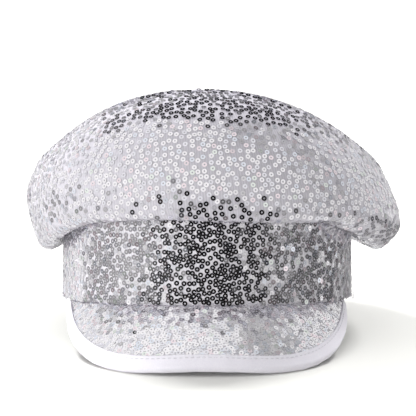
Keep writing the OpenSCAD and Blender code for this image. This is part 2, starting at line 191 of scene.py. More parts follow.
def sheet_of(name, columns, rows, place, size):
    """A flat grid, shaped by place(u, w) on the upright cap, with its UV map in metres."""
    bpy.ops.object.select_all(action="DESELECT")
    bpy.ops.mesh.primitive_grid_add(x_subdivisions=columns, y_subdivisions=rows, size=1)
    piece = bpy.context.object
    piece.name = name
    for vertex in piece.data.vertices:
        vertex.co = stand(place(vertex.co.x + 0.5, vertex.co.y + 0.5))
    uv = piece.data.uv_layers.active.data
    flat = np.empty(len(uv) * 2)
    uv.foreach_get("uv", flat)
    uv.foreach_set("uv", (flat.reshape(-1, 2) * np.array(size) * MM).ravel())
    return piece


def apply_modifier(piece, kind, **settings):
    bpy.ops.object.select_all(action="DESELECT")
    piece.select_set(True)
    bpy.context.view_layer.objects.active = piece
    bpy.ops.object.modifier_add(type=kind)
    modifier = piece.modifiers[-1]
    for key, value in settings.items():
        setattr(modifier, key, value)
    bpy.ops.object.modifier_apply(modifier=modifier.name)


def outline(piece):
    """The numbers of the vertices on the open edges."""
    uses = {}
    for polygon in piece.data.polygons:
        for key in polygon.edge_keys:
            uses[key] = uses.get(key, 0) + 1
    return sorted({i for key, count in uses.items() if count == 1 for i in key})


def pucker(piece, slack, pressure, most, frames=22):
    """Lets a slack sheet, sewn down at its outline, settle over the air behind it."""
    mesh = piece.data
    before = np.array([v.co for v in mesh.vertices])
    seams = piece.vertex_groups.new(name="seams")
    seams.add(outline(piece), 1.0, "REPLACE")
    bpy.ops.object.select_all(action="DESELECT")
    piece.select_set(True)
    bpy.context.view_layer.objects.active = piece
    bpy.ops.object.modifier_add(type="CLOTH")
    cloth = piece.modifiers[-1]
    cloth.settings.quality = 6
    cloth.settings.mass = 0.15
    cloth.settings.tension_stiffness = 20
    cloth.settings.compression_stiffness = 20
    cloth.settings.shear_stiffness = 8
    cloth.settings.bending_stiffness = 0.6
    cloth.settings.vertex_group_mass = "seams"
    cloth.settings.shrink_min = -slack
    cloth.settings.use_pressure = True
    cloth.settings.uniform_pressure_force = pressure
    cloth.settings.effector_weights.gravity = 0.25
    cloth.point_cache.frame_end = frames
    for number in range(1, frames + 1):
        bpy.context.scene.frame_set(number)
    bpy.ops.object.modifier_apply(modifier=cloth.name)
    piece.vertex_groups.clear()
    after = np.array([v.co for v in mesh.vertices])
    move = after - before
    length = np.linalg.norm(move, axis=1, keepdims=True)
    cap = most * MM
    held = np.where(length > 0, np.tanh(length / cap) * cap / np.maximum(length, 1e-9), 0)
    mesh.vertices.foreach_set("co", (before + move * held).ravel())
    mesh.update()
    bpy.context.scene.frame_set(1)


seam_gap = 0.002                        # between panels, as a share of the way up the crown


def crown_panel(name, start, end):
    """A panel from the band to the rim seam, with its rows evenly spaced up the cloth."""
    columns, rows = 90, 26
    lines = []
    for i in range(columns + 1):
        turn = start + (end - start) * i / columns
        top = rim_v(turn) - seam_gap
        lines.append(evenly([crown_point(turn, top * k / 60) for k in range(61)], rows))
    return sheet_of(
        name, columns, rows, lambda u, w: lines[round(u * columns)][round(w * rows)], (350, 105)
    )


def tip_panel(name):
    """The round top, from a square grid drawn out to a disc."""

    def place(u, w):
        turn, share = on_disc(u, w)
        return crown_point(turn, 2 - (2 - (rim_v(turn) + seam_gap)) * share)

    return sheet_of(name, 56, 56, place, (215, 190))


front_cloth = crown_panel("crown_front_cloth", -180, 0)
back_cloth = crown_panel("crown_back_cloth", 0, 180)
tip_cloth = tip_panel("crown_tip_cloth")
crown_cloths = [front_cloth, back_cloth, tip_cloth]
for panel in crown_cloths:
    pucker(panel, slack=0.005, pressure=0.3, most=1.2)
for panel in crown_cloths:
    apply_modifier(panel, "SUBSURF", levels=1, render_levels=1)


def linear(code):
    """An sRGB hex colour as linear values."""
    parts = [int(code[i : i + 2], 16) / 255 for i in (0, 2, 4)]
    return (*[c / 12.92 if c <= 0.04045 else ((c + 0.055) / 1.055) ** 2.4 for c in parts], 1.0)


def add_node(tree, kind, inputs=None, **settings):
    """Adds a node with its settings.  An input is a value, or another node's output."""
    node = tree.nodes.new(kind)
    for key, value in settings.items():
        setattr(node, key, value)
    for key, value in (inputs or {}).items():
        if isinstance(value, bpy.types.NodeSocket):
            tree.links.new(value, node.inputs[key])
        else:
            node.inputs[key].default_value = value
    return node


def new_material(name):
    material = bpy.data.materials.new(name)
    material.use_nodes = True
    material.node_tree.nodes.clear()
    return material, material.node_tree


def finish_surface(tree, shader):
    add_node(tree, "ShaderNodeOutputMaterial", {"Surface": shader.outputs[0]})


# Warp-knitted polyester tricot, brushed flat: fine ribs 0.6 mm apart, a soft sheen at a
# low angle, and a cloudy tone where it is stretched more or less.
def new_knit(name, rib, dense, loose):
    material, tree = new_material(name)
    uv = add_node(tree, "ShaderNodeUVMap")
    clouds = add_node(
        tree, "ShaderNodeTexNoise", {"Vector": uv.outputs[0], "Scale": 60.0, "Detail": 3.0}
    )
    ribs = add_node(
        tree,
        "ShaderNodeTexWave",
        {"Vector": uv.outputs[0], "Scale": 2 / (20 * 0.5 * MM), "Distortion": 2.5},
    )
    tone = add_node(
        tree,
        "ShaderNodeMixRGB",
        {"Fac": clouds.outputs["Fac"], "Color1": linear(dense), "Color2": linear(loose)},
    )
    ribbed = add_node(
        tree,
        "ShaderNodeMixRGB",
        {"Fac": ribs.outputs["Fac"], "Color1": linear(rib), "Color2": tone.outputs[0]},
    )
    bump = add_node(
        tree,
        "ShaderNodeBump",
        {"Height": ribs.outputs["Fac"], "Strength": 0.05, "Distance": 0.1 * MM},
    )
    cloth_shader = add_node(
        tree,
        "ShaderNodeBsdfPrincipled",
        {
            "Base Color": ribbed.outputs[0],
            "Roughness": 0.55,
            "Sheen Weight": 0.25,
            "Sheen Roughness": 0.4,
            "Normal": bump.outputs[0],
        },
    )
    finish_surface(tree, cloth_shader)
    return material


knit = new_knit("warp_knit_polyester", "B3B0B9", "B8B5BE", "CCC9D1")
# The same knit drawn tight over pale plastic, which shows through it
tight_knit = new_knit("warp_knit_stretched", "D2CFD7", "D6D3DA", "E6E3E9")


def thicken(piece, thickness, offset=-1.0, even=True):
    apply_modifier(piece, "SOLIDIFY", thickness=thickness * MM, offset=offset, use_even_offset=even)


def dress(piece, material):
    """Gives a finished piece its material, and fixes it to the cap's one body."""
    piece.data.materials.clear()
    piece.data.materials.append(material)
    piece.data.polygons.foreach_set("use_smooth", [True] * len(piece.data.polygons))
    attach(piece, "root")


# ---- Sequins ----
# Rings of silvered plastic film, 3 mm across with a 1 mm hole, sewn down loosely, so each
# one tips its own way and mirrors its own part of the room.
sequin_r = 1.5
hole_r = 0.5
sequin_t = 0.18
most_rings = 3200                       # in one piece
bpy.ops.object.select_all(action="DESELECT")
bpy.ops.mesh.primitive_torus_add(
    major_segments=10,
    minor_segments=3,
    major_radius=(sequin_r + 2 * hole_r) / 3,
    minor_radius=(sequin_r - hole_r) * 2 / 3,
)
ring = bpy.context.object
ring_points = np.array([v.co for v in ring.data.vertices])
ring_points[:, 2] = np.where(ring_points[:, 2] < -0.01, -sequin_t, 0)
ring_faces = np.array([p.vertices[:] for p in ring.data.polygons])
bpy.data.objects.remove(ring)


def many(name, points, faces, places):
    """One mesh of a shape repeated at each place, a place being an origin and three axes."""
    count = len(places)
    origins = np.array([p[0] for p in places])
    axes = np.array([p[1] for p in places])
    xyz = np.einsum("pk,nkc->npc", points, axes) * MM + origins[:, None, :]
    corners = faces[None] + (np.arange(count) * len(points))[:, None, None]
    mesh = bpy.data.meshes.new(name)
    mesh.from_pydata(xyz.reshape(-1, 3).tolist(), [], corners.reshape(-1, faces.shape[1]).tolist())
    piece = bpy.data.objects.new(name, mesh)
    bpy.context.scene.collection.objects.link(piece)
    return piece


def scatter(piece, spacing, rng, tries_each=12):
    """Points and normals on a sheet, no two nearer than the spacing."""
    mesh = piece.data
    mesh.calc_loop_triangles()
    co = np.array([v.co for v in mesh.vertices])
    normal = np.array([v.normal for v in mesh.vertices])
    tri = np.array([t.vertices[:] for t in mesh.loop_triangles])
    a, b, c = co[tri[:, 0]], co[tri[:, 1]], co[tri[:, 2]]
    area = np.linalg.norm(np.cross(b - a, c - a), axis=1) / 2
    tries = int(area.sum() / (spacing * MM) ** 2 * tries_each)
    pick = rng.choice(len(tri), tries, p=area / area.sum())
    r1, r2 = np.sqrt(rng.random(tries)), rng.random(tries)
    weights = np.stack([1 - r1, r1 * (1 - r2), r1 * r2], axis=1)
    points = np.einsum("nk,nkc->nc", weights, co[tri[pick]])
    normals = np.einsum("nk,nkc->nc", weights, normal[tri[pick]])
    cells = np.floor(points / (spacing * MM)).astype(int)
    taken, kept = {}, []
    for i, cell in enumerate(map(tuple, cells)):
        near = [
            k
            for dx in (-1, 0, 1)
            for dy in (-1, 0, 1)
            for dz in (-1, 0, 1)
            for k in taken.get((cell[0] + dx, cell[1] + dy, cell[2] + dz), ())
        ]
        if all(((points[i] - points[k]) ** 2).sum() > (spacing * MM) ** 2 for k in near):
            taken.setdefault(cell, []).append(i)
            kept.append(i)
    return points[kept], normals[kept]


def sew_sequins(name, piece, spacing, tip, nod, lift, seed):
    """Rings tipped at random by some degrees, and all of them nodding down by some more."""
    rng = np.random.default_rng(seed)
    points, normals = scatter(piece, spacing, rng)
    places = []
    for point, normal in zip(points, normals):
        up = Vector(normal).normalized()
        lean = Vector(rng.normal(0, math.radians(tip), 3)) - Vector((0, 0, math.radians(nod)))
        axis = (up + lean - up * lean.dot(up)).normalized()
        spin = rng.random() * math.tau
        side = axis.orthogonal().normalized()
        side = Matrix.Rotation(spin, 3, axis) @ side
        origin = Vector(point) + up * (rng.uniform(lift[0], lift[1]) * MM)
        places.append((np.array(origin), np.array([side, axis.cross(side), axis])))
    # Each ring's own tint: silver, faint pink, faint blue, faint green or a greyer silver
    hues = np.array([linear(c) for c in ("F6F4F7", "F3E8ED", "E8EBF3", "EBF0EC", "E9E8EE")])
    chance = [0.56, 0.08, 0.08, 0.03, 0.25]
    # Pieces parted from the wearer's right to the left
    places.sort(key=lambda place: place[0][0])
    parts = math.ceil(len(places) / most_rings)
    for k in range(parts):
        part = places[len(places) * k // parts : len(places) * (k + 1) // parts]
        sequins = many(f"{name}_{k + 1}", ring_points, ring_faces, part)
        tint = np.repeat(hues[rng.choice(len(hues), len(part), p=chance)], len(ring_points), axis=0)
        layer = sequins.data.color_attributes.new("tint", "FLOAT_COLOR", "POINT")
        layer.data.foreach_set("color", tint.astype(np.float32).ravel())
        dress(sequins, sequin_film)
        sequins.data.polygons.foreach_set("use_smooth", [False] * len(sequins.data.polygons))


# Vacuum-silvered PET film, punched and pressed: a mirror with a faint orange peel, whose
# thin coat tints some rings.
sequin_film, tree = new_material("silvered_pet_film")
tint = add_node(tree, "ShaderNodeAttribute", attribute_name="tint")
place = add_node(tree, "ShaderNodeTexCoord")
peel = add_node(
    tree,
    "ShaderNodeTexNoise",
    {"Vector": place.outputs["Object"], "Scale": 1 / (1.2 * MM), "Detail": 1.0},
)
peel_bump = add_node(
    tree, "ShaderNodeBump", {"Height": peel.outputs["Fac"], "Strength": 0.04, "Distance": 0.1 * MM}
)
film = add_node(
    tree,
    "ShaderNodeBsdfPrincipled",
    {
        "Base Color": tint.outputs["Color"],
        "Metallic": 1.0,
        "Roughness": 0.1,
        "Normal": peel_bump.outputs[0],
    },
)
finish_surface(tree, film)

sew_sequins("crown_front_sequins", front_cloth, 2.95, 4.0, -1.5, (0.2, 0.35), 11)
sew_sequins("crown_back_sequins", back_cloth, 2.95, 4.0, -1.5, (0.2, 0.35), 12)
sew_sequins("crown_tip_sequins", tip_cloth, 2.7, 4.0, 0, (0.2, 0.35), 13)

# ---- Crown foam and the finish of the crown's panels ----
# Thin polyurethane foam sheet behind each panel gives the crown its puffed body.  It is
# cut just short of the seams and follows the cloth outside it.
foam_gap = 0.6
foam_t = 2.5

# Open-cell polyurethane foam, sliced: dry and matt, with cells 0.8 mm wide.
foam_sheet, tree = new_material("polyurethane_foam_sheet")
place = add_node(tree, "ShaderNodeTexCoord")
cells = add_node(
    tree, "ShaderNodeTexVoronoi", {"Vector": place.outputs["Object"], "Scale": 1 / (0.8 * MM)}
)
cell_bump = add_node(
    tree,
    "ShaderNodeBump",
    {"Height": cells.outputs["Distance"], "Strength": 0.4, "Distance": 0.3 * MM},
)
foam_tone = add_node(
    tree,
    "ShaderNodeMixRGB",
    {"Fac": cells.outputs["Distance"], "Color1": linear("E9E4D4"), "Color2": linear("F4F1E6")},
)
foam_shader = add_node(
    tree,
    "ShaderNodeBsdfPrincipled",
    {"Base Color": foam_tone.outputs[0], "Roughness": 0.95, "Normal": cell_bump.outputs[0]},
)
finish_surface(tree, foam_shader)


def copy_of(piece, name):
    """A copy with its own mesh."""
    other = piece.copy()
    other.data = piece.data.copy()
    other.name = name
    bpy.context.scene.collection.objects.link(other)
    return other


def trimmed(piece, margin):
    """Deletes the rows of faces next to the outline, margin of them."""
    for _ in range(margin):
        bpy.ops.object.select_all(action="DESELECT")
        piece.select_set(True)
        bpy.context.view_layer.objects.active = piece
        edge = set(outline(piece))
        bpy.ops.object.mode_set(mode="EDIT")
        bpy.ops.mesh.select_all(action="DESELECT")
        bpy.ops.object.mode_set(mode="OBJECT")
        for polygon in piece.data.polygons:
            polygon.select = any(i in edge for i in polygon.vertices)
        bpy.ops.object.mode_set(mode="EDIT")
        bpy.ops.mesh.select_mode(type="FACE")
        bpy.ops.mesh.delete(type="FACE")
        bpy.ops.object.mode_set(mode="OBJECT")


def sink(piece, depth):
    """Moves every vertex in along its normal."""
    co = np.array([v.co for v in piece.data.vertices])
    normal = np.array([v.normal for v in piece.data.vertices])
    piece.data.vertices.foreach_set("co", (co - normal * depth * MM).ravel())
    piece.data.update()


for panel, node in zip(crown_cloths, ("front_foam", "back_foam", "tip_foam")):
    foam = copy_of(panel, node + "_sheet")
    trimmed(foam, 2)
    sink(foam, cloth_t + foam_gap)
    thicken(foam, foam_t, even=False)
    dress(foam, foam_sheet)
    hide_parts(node)

for panel, node, flat, area in (
    (front_cloth, "crown_front", (0.36, 0.115), 0.032),
    (back_cloth, "crown_back", (0.36, 0.1), 0.028),
    (tip_cloth, "crown_tip", (0.222, 0.2), 0.034),
):
    thicken(panel, cloth_t, even=False)
    dress(panel, knit)
    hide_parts(node)

# ---- Hatband ----
# A strip of the same knit, 52 mm high and sewn into a ring, round the stiffened head
# band.  Its sequins are set closer than the crown's.
hatband_t = 1.0
hatband_foot = 0.7
broad_give = 0.25
fine_give = 0.2
hem_wave = 0.25
seam_turn = 90                          # the strips' ends meet at the middle of the back
strip_turn = 359.8


def band_point(turn, out, z):
    """The band's outer face, which gives a little between its rows of stitches."""
    a = math.radians(turn)
    give = broad_give * math.sin(7 * a + 0.4) * math.sin(math.pi * z / band_h)
    give += fine_give * math.sin(17 * a + z / 18)
    p = oval(turn, out + give, z)
    p.z += hem_wave * math.sin(23 * a) * (1 - smooth(z, 0, 6))
    return p


def hatband_place(u, w):
    z = hatband_foot + (band_h - hatband_foot) * w
    return band_point(seam_turn + 0.1 + strip_turn * u, hatband_out, z)


hatband = sheet_of("hatband_cloth", 220, 16, hatband_place, (600, band_h))
sew_sequins("hatband_sequins", hatband, 2.35, 2.4, 3.0, (0.2, 0.5), 21)
thicken(hatband, hatband_t)
dress(hatband, tight_knit)
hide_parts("hatband")

# ---- Visor ----
# A stiff die-cut board, cross-curved over the forehead, covered in sequinned knit on top
# and in white twill below, with its outer edge bound.
visor_half = 82.9
visor_front = -(half_head[1] + hatband_out + 28)
visor_drop = 32.5
visor_dip = 3                           # lower still between the middle and each end
plan_round = 2.45                       # how square the edge is, from above and from the front
drop_round = 3.2
most_bulge = 1.5
seam_z = -0.3
tongue_h = 9.3                          # sewn in behind the hatband
edge_share = 0.8                        # of the cover's rows, on the visor itself
tongue_in = 2.75
cover_t = 0.6
tongue_out = tongue_in + cover_t
end_turn = 88.5
end_angle = math.degrees(math.asin((visor_half - 2) / (half_head[0] + tongue_out)))
end_y = -(half_head[1] + tongue_out) * math.cos(math.radians(end_angle)) + 0.7
board_t = 1.6
underside_t = 0.5
visor_gap = 0.2
pack_t = cover_t + board_t + underside_t + 2 * visor_gap


def root_angle(turn):
    s = turn / end_turn
    return end_angle * (0.75 * s + 0.25 * s**3) - 90


def closing(x, n):
    """A rounded oblong's edge: 1 at the middle and 0 at either end."""
    return max(0, 1 - abs(x) ** n) ** (1 / n)


def visor_edge(turn):
    x = math.sin(math.radians(turn))
    y = end_y + (visor_front - end_y) * closing(x, plan_round)
    z = -visor_drop * closing(x, drop_round) - visor_dip * math.sin(math.radians(2 * turn)) ** 2
    return Vector((visor_half * x, y, z))


def visor_root(turn):
    return oval(root_angle(turn), tongue_out, seam_z)


def visor_top(turn, w):
    a, b = visor_root(turn), visor_edge(turn)
    out = Vector((b.x, b.y, 0)).normalized()
    bulge = 4 * w * (1 - w) * min(most_bulge, (b - a).length * 0.03)
    return a.lerp(b, w) + bulge * (out + Vector((0, 0, 1))) / math.sqrt(2)


def visor_normal(turn, w):
    low, high = max(turn - 1, -end_turn), min(turn + 1, end_turn)
    down = visor_top(turn, w + 0.01) - visor_top(turn, w - 0.01)
    along = visor_top(high, w) - visor_top(low, w)
    return down.cross(along).normalized()


def visor_at(turn, w, depth):
    """w goes from the seam at the band to the edge, and the depth goes down from the top."""
    return visor_top(turn, w) - depth * visor_normal(turn, w)


def visor_length(turn):
    return (visor_edge(turn) - visor_root(turn)).length


def visor_turn(u):
    return end_turn * (2 * u - 1)


visor_face = sheet_of(
    "visor_face", 96, 18, lambda u, w: visor_at(visor_turn(u), 1 - w, 0), (240, 42)
)
sew_sequins("visor_sequins", visor_face, 2.05, 2.6, 0, (0.12, 0.3), 31)
bpy.data.objects.remove(visor_face)


def cover_point(u, w):
    """From the edge in to the seam, then up behind the hatband."""
    turn = visor_turn(u)
    if w < edge_share:
        return visor_at(turn, 1 - w / edge_share, 0)
    z = seam_z + tongue_h * (w - edge_share) / 0.2
    return oval(root_angle(turn), tongue_out, z)


visor_cover = sheet_of("visor_cover_cloth", 96, 24, cover_point, (240, 51))
thicken(visor_cover, cover_t)
dress(visor_cover, tight_knit)
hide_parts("visor_cover")

# White polyester twill, woven in diagonal ribs 0.7 mm apart: matt, with a fine slant grain.
twill, tree = new_material("white_polyester_twill")
uv = add_node(tree, "ShaderNodeUVMap")
turned = add_node(
    tree, "ShaderNodeMapping", {"Vector": uv.outputs[0], "Rotation": (0, 0, math.radians(45))}
)
diagonal = add_node(
    tree,
    "ShaderNodeTexWave",
    {"Vector": turned.outputs[0], "Scale": 2 / (20 * 0.7 * MM), "Distortion": 0.6},
)
twill_tone = add_node(
    tree,
    "ShaderNodeMixRGB",
    {"Fac": diagonal.outputs["Fac"], "Color1": linear("DEDDE3"), "Color2": linear("F3F2F5")},
)
twill_bump = add_node(
    tree,
    "ShaderNodeBump",
    {"Height": diagonal.outputs["Fac"], "Strength": 0.35, "Distance": 0.2 * MM},
)
twill_shader = add_node(
    tree,
    "ShaderNodeBsdfPrincipled",
    {
        "Base Color": twill_tone.outputs[0],
        "Roughness": 0.75,
        "Sheen Weight": 0.15,
        "Normal": twill_bump.outputs[0],
    },
)
finish_surface(tree, twill_shader)

underside = sheet_of(
    "visor_underside_cloth",
    96,
    18,
    lambda u, w: visor_at(visor_turn(u), 1 - w, pack_t - underside_t),
    (240, 42),
)
thicken(underside, underside_t)
dress(underside, twill)
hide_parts("visor_underside")

# ---- Binding ----
# A strip of white coated synthetic leather folded over the visor's edge, with a round
# nose, and sewn through near its inner edges.
binding_t = 0.7
binding_w = 7.0
binding_out = pack_t / 2 + visor_gap + binding_t
leg_share = 0.4                         # of the rows, on each leg, and the rest on the nose
nose_share = 0.2
ripple_deep = 0.12


def binding_leg(turn):
    return min(binding_w, 0.8 * visor_length(turn))


def binding_point(u, w):
    """w goes from the upper inner edge, round the nose, to the lower inner edge."""
    turn = visor_turn(u)
    leg = binding_leg(turn) / visor_length(turn)
    ripple = ripple_deep * math.sin(u * 96) * math.sin(u * 37)
    r = binding_out + ripple
    if w < leg_share:
        return visor_at(turn, 1 - leg * (1 - w / leg_share), pack_t / 2 - r)
    if w > 1 - leg_share:
        return visor_at(turn, 1 - leg * (w - (1 - leg_share)) / leg_share, pack_t / 2 + r)
    a = math.radians(90 - 180 * (w - leg_share) / nose_share)
    out = (visor_at(turn, 1, 0) - visor_at(turn, 0.98, 0)).normalized()
    round_nose = math.cos(a) * out + math.sin(a) * visor_normal(turn, 1)
    return visor_at(turn, 1, pack_t / 2) + r * round_nose


binding = sheet_of("binding_strip", 160, 40, binding_point, (300, 19))
thicken(binding, binding_t, offset=1.0)

# Knitted fabric with an embossed polyurethane coat: a soft gloss over grain 0.9 mm wide.
coated, tree = new_material("white_pu_coated_fabric")
place = add_node(tree, "ShaderNodeTexCoord")
grain = add_node(
    tree, "ShaderNodeTexVoronoi", {"Vector": place.outputs["Object"], "Scale": 1 / (0.9 * MM)}
)
grain_bump = add_node(
    tree,
    "ShaderNodeBump",
    {"Height": grain.outputs["Distance"], "Strength": 0.1, "Distance": 0.1 * MM},
)
coat_tone = add_node(
    tree,
    "ShaderNodeMixRGB",
    {"Fac": grain.outputs["Distance"], "Color1": linear("F0EDF7"), "Color2": linear("F7F4FC")},
)
coated_shader = add_node(
    tree,
    "ShaderNodeBsdfPrincipled",
    {"Base Color": coat_tone.outputs[0], "Roughness": 0.38, "Normal": grain_bump.outputs[0]},
)
finish_surface(tree, coated_shader)
dress(binding, coated)
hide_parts("visor_binding")

# ---- Stitches ----
# Polyester thread half a millimetre thick.  A stitch is a short bent length whose ends go
# down into the cloth.
stitch_pitch = 3.2
bpy.ops.object.select_all(action="DESELECT")
bpy.ops.mesh.primitive_uv_sphere_add(segments=8, ring_count=8, radius=1)
bead = bpy.context.object
bead_points = np.array([v.co for v in bead.data.vertices])
bead_faces = [list(p.vertices) for p in bead.data.polygons]
bead_faces = np.array([f if len(f) == 4 else f + f[-1:] for f in bead_faces])
bpy.data.objects.remove(bead)
half_stitch = 1.25
thread_r = 0.27
stitch_bend = 0.3
stitch_lift = 0.12
stitch_points = np.stack(
    [
        bead_points[:, 2] * half_stitch,
        bead_points[:, 0] * thread_r,
        bead_points[:, 1] * thread_r - stitch_bend * bead_points[:, 2] ** 2,
    ],
    axis=1,
)


def sew(name, line, material):
    """A row of stitches along a line of (point, outward direction) pairs."""
    points = [stand(p) for p, _ in line]
    ups = [(upright @ n).normalized() for _, n in line]
    steps = np.array([(b - a).length for a, b in zip(points, points[1:])])
    run = np.concatenate([[0], np.cumsum(steps)])
    count = round(run[-1] / (stitch_pitch * MM))
    places = []
    for k in range(count):
        i = min(int(np.searchsorted(run, (k + 0.5) * run[-1] / count)), len(points) - 1)
        share = ((k + 0.5) * run[-1] / count - run[i - 1]) / (run[i] - run[i - 1])
        up = ups[i - 1].lerp(ups[i], share).normalized()
        along = (points[i] - points[i - 1]).normalized()
        up = (up - along * up.dot(along)).normalized()
        origin = points[i - 1].lerp(points[i], share) + up * stitch_lift * MM
        places.append((np.array(origin), np.array([along, up.cross(along), up])))
    row = many(name, stitch_points, bead_faces, places)
    row.data.validate()
    dress(row, material)
    return row


# Spun polyester thread: a dull gloss, lighter and darker where it is twisted.
thread, tree = new_material("polyester_sewing_thread")
place = add_node(tree, "ShaderNodeTexCoord")
twist = add_node(
    tree, "ShaderNodeTexNoise", {"Vector": place.outputs["Object"], "Scale": 1 / (0.3 * MM)}
)
thread_tone = add_node(
    tree,
    "ShaderNodeMixRGB",
    {"Fac": twist.outputs["Fac"], "Color1": linear("C9C5D2"), "Color2": linear("F1EFF5")},
)
thread_shader = add_node(
    tree, "ShaderNodeBsdfPrincipled", {"Base Color": thread_tone.outputs[0], "Roughness": 0.5}
)
finish_surface(tree, thread_shader)


def binding_row(turn):
    w = 1 - (binding_leg(turn) - 2) / visor_length(turn)
    return visor_at(turn, w, pack_t / 2 - binding_out), visor_normal(turn, w)


def out_from(turn):
    a = math.radians(turn)
    return Vector((math.cos(a) / half_head[0], math.sin(a) / half_head[1], 0)).normalized()


row = sew("binding_thread", [binding_row(-84 + 1.4 * k) for k in range(121)], thread)
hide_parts("binding_stitches")
hatband_row_up = 7                      # from the band's foot
sweatband_row_up = 3
round_the_band = [seam_turn + 2 * k for k in range(181)]
hem_line = [(band_point(t, hatband_out, hatband_row_up), out_from(t)) for t in round_the_band]
row = sew("hatband_thread", hem_line, thread)
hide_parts("hatband_stitches")
inner_line = [(oval(t, 0, sweatband_row_up), -out_from(t)) for t in round_the_band]
row = sew("sweatband_thread", inner_line, thread)
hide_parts("sweatband_stitches")

# Threads worked loose at the band's lower edge, where it comes off the visor's ends
strand_r = 0.13
strand_steps = 6
loose = bpy.data.curves.new("loose_threads", "CURVE")
loose.dimensions = "3D"
loose.bevel_depth = strand_r * MM
rng = np.random.default_rng(41)
for start in (-15, -12, -9, -4, 3, 9, -164, -168, -172, 179):
    length = rng.uniform(4, 8)
    drift = rng.uniform(-0.8, 0.8)
    hem = band_point(start + rng.uniform(-2, 2), hatband_out + 0.1, rng.uniform(1.5, 4))
    away_from_band = out_from(start)
    around = Vector((-away_from_band.y, away_from_band.x, 0))
    strand = loose.splines.new("POLY")
    strand.points.add(strand_steps)
    for k, point in enumerate(strand.points):
        s = k / strand_steps
        reach = away_from_band * (1.9 * math.sin(2.2 * s)) + around * (drift * length * s * s)
        hanging = hem + reach - Vector((0, 0, 0.45 * length * s**1.6))
        point.co = (*stand(hanging), 1)
strands = bpy.data.objects.new("loose_threads", loose)
bpy.context.scene.collection.objects.link(strands)
bpy.ops.object.select_all(action="DESELECT")
bpy.context.view_layer.objects.active = strands
strands.select_set(True)
bpy.ops.object.convert(target="MESH")
dress(bpy.context.object, thread)

# ---- Sweatband, lining and labels ----
# Inside, a twill sweatband covers the foot of a thin lining bag, and two blank ribbon
# labels hang at the back.
sweatband_foot = 0.4
sweatband_top = 32


def sweatband_place(u, w):
    z = sweatband_foot + (sweatband_top - sweatband_foot) * w
    return oval(seam_turn + 0.1 + strip_turn * u, 0, z)


sweatband = sheet_of("sweatband_tape", 180, 10, sweatband_place, (580, sweatband_top))
thicken(sweatband, 0.9, offset=1.0)
dress(sweatband, twill)
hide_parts("sweatband")

lining_t = 0.4
lining_out = 1.5
lining_foot = 24
lining_top = peak.z - 6.5
lining_round = 2.4
lining_fold = 0.9
straight_share = 0.3                    # of the side's rows, up the inside of the band
lining_seam = 0.5                       # how far up the bag its tip is sewn in


def lining_point(turn, v):
    """v is 1 at the band's top and 2 at the middle of the tip."""
    w = oval(turn, lining_out, band_h)
    share = math.cos(math.pi / 2 * (v - 1))
    rise = max(0, 1 - share**lining_round) ** (1 / lining_round)
    z = band_h + (lining_top - band_h) * rise
    p = Vector((w.x * share, peak.y + (w.y - peak.y) * share, z))
    a = math.radians(turn)
    fold = lining_fold * math.sin(19 * a + 1.5 * math.sin(3 * a))
    return p - Vector((0, 0, abs(fold * math.sin(math.pi * min(1, (v - 1) / 0.9)))))


def lining_wall(u, w):
    turn = 360 * u
    if w < straight_share:
        return oval(turn, lining_out, lining_foot + (band_h - lining_foot) * w / straight_share)
    return lining_point(turn, 1 + lining_seam * (w - straight_share) / (1 - straight_share))


side_lining = sheet_of("side_lining_cloth", 180, 26, lining_wall, (560, 95))
thicken(side_lining, lining_t)


def lining_tip(u, w):
    turn, share = on_disc(u, w)
    return lining_point(turn, 2 - lining_seam * share)


tip_lining = sheet_of("tip_lining_cloth", 40, 40, lining_tip, (130, 150))
thicken(tip_lining, lining_t)

# Thin polyester taffeta, plain woven: smooth, with a faint check drawn 0.5 mm wide to show.
taffeta, tree = new_material("thin_polyester_lining")
uv = add_node(tree, "ShaderNodeUVMap")
weave = add_node(
    tree, "ShaderNodeTexChecker", {"Vector": uv.outputs[0], "Scale": 1 / (0.5 * MM)}
)
lining_tone = add_node(
    tree,
    "ShaderNodeMixRGB",
    {"Fac": weave.outputs["Fac"], "Color1": linear("E4E3E8"), "Color2": linear("F2F2F4")},
)
lining_shader = add_node(
    tree,
    "ShaderNodeBsdfPrincipled",
    {"Base Color": lining_tone.outputs[0], "Roughness": 0.45, "Sheen Weight": 0.2},
)
finish_surface(tree, lining_shader)
for piece, node, flat, area in (
    (side_lining, "side_lining", (0.57, 0.1), 0.045),
    (tip_lining, "tip_lining", (0.145, 0.13), 0.0145),
):
    dress(piece, taffeta)
    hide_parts(node)


label_t = 0.25
label_top = 31
label_curl = 1.6


def label(name, turn, width, length, node):
    """A ribbon sewn in at its top edge, whose foot curls off the sweatband."""
    at = oval(turn, -0.35, label_top)
    out = out_from(turn)
    along = Vector((-out.y, out.x, 0))

    def place(u, w):
        curl = label_curl * (1 - w) ** 2
        top = at + along * width * (u - 0.5) - out * (0.6 + curl)
        return top - Vector((0, 0, length * (1 - w)))

    piece = sheet_of(name, 8, 12, place, (width, length))
    thicken(piece, label_t)
    dress(piece, ribbon)
    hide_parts(node)


# White polyester satin ribbon: smooth and glossy, with fine lines 0.4 mm apart.
ribbon, tree = new_material("white_satin_ribbon")
uv = add_node(tree, "ShaderNodeUVMap")
satin = add_node(
    tree, "ShaderNodeTexWave", {"Vector": uv.outputs[0], "Scale": 2 / (20 * 0.4 * MM)}
)
ribbon_tone = add_node(
    tree,
    "ShaderNodeMixRGB",
    {"Fac": satin.outputs["Fac"], "Color1": linear("F0F0F0"), "Color2": linear("FAFAF8")},
)
ribbon_shader = add_node(
    tree, "ShaderNodeBsdfPrincipled", {"Base Color": ribbon_tone.outputs[0], "Roughness": 0.3}
)
finish_surface(tree, ribbon_shader)
label("care_label_ribbon", 78, 16, 22, "care_label")
label("size_label_ribbon", 103, 11, 9, "size_label")

